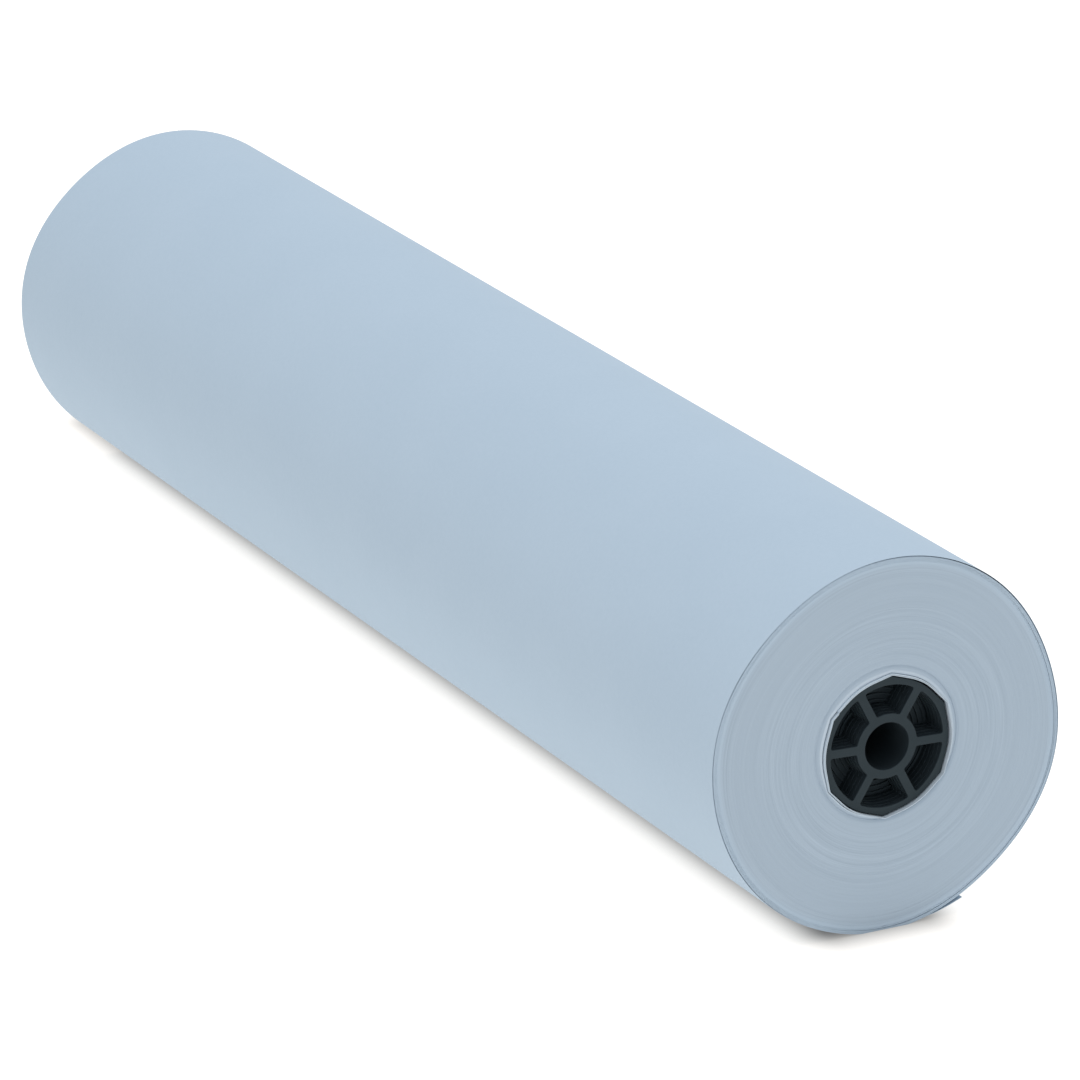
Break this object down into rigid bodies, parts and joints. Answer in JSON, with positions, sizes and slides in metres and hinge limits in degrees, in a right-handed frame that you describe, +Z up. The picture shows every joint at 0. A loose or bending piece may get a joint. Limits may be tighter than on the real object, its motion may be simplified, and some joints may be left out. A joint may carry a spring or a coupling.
{
  "type": "backdrop paper roll",
  "caption": "Roll of light blue kraft-type paper wound on itself with no tube, a black spoked plastic plug in each end for a shaft, and the paper's free end standing slightly open.",
  "frame": {"origin": "on the floor, under the middle of the roll", "axes": "+X along the roll's axis towards the end whose inner wraps stand proud, +Z up, and the paper's free end low on the +Y side"},
  "size_m": [0.9153, 0.2116, 0.2108],
  "materials": {
    "paper": "matt light blue uncoated paper, dyed through, with a faint fibre mottle",
    "plug_plastic": "satin black injection-moulded plastic"
  },
  "bodies": {
    "roll": {"inner_wraps": "paper", "paper_winding": "paper", "outer_wraps": "paper"},
    "tail": {"paper_tail": "paper"},
    "right_plug": {"right_core_plug": "plug_plastic"},
    "left_plug": {"left_core_plug": "plug_plastic"}
  },
  "joints": [
    {"name": "tail_flex", "type": "hinge", "parent": "roll", "child": "tail", "pos_m": [0, 0.02561, 0.00229], "axis": [-1, 0, 0], "range_deg": [-4.5, 20], "stiffness_Nm_per_rad": 0.12},
    {"name": "right_plug_pull", "type": "slide", "parent": "roll", "child": "right_plug", "axis": [1, 0, 0], "range_m": [0, 0.045]},
    {"name": "left_plug_pull", "type": "slide", "parent": "roll", "child": "left_plug", "axis": [-1, 0, 0], "range_m": [0, 0.045]}
  ]
}
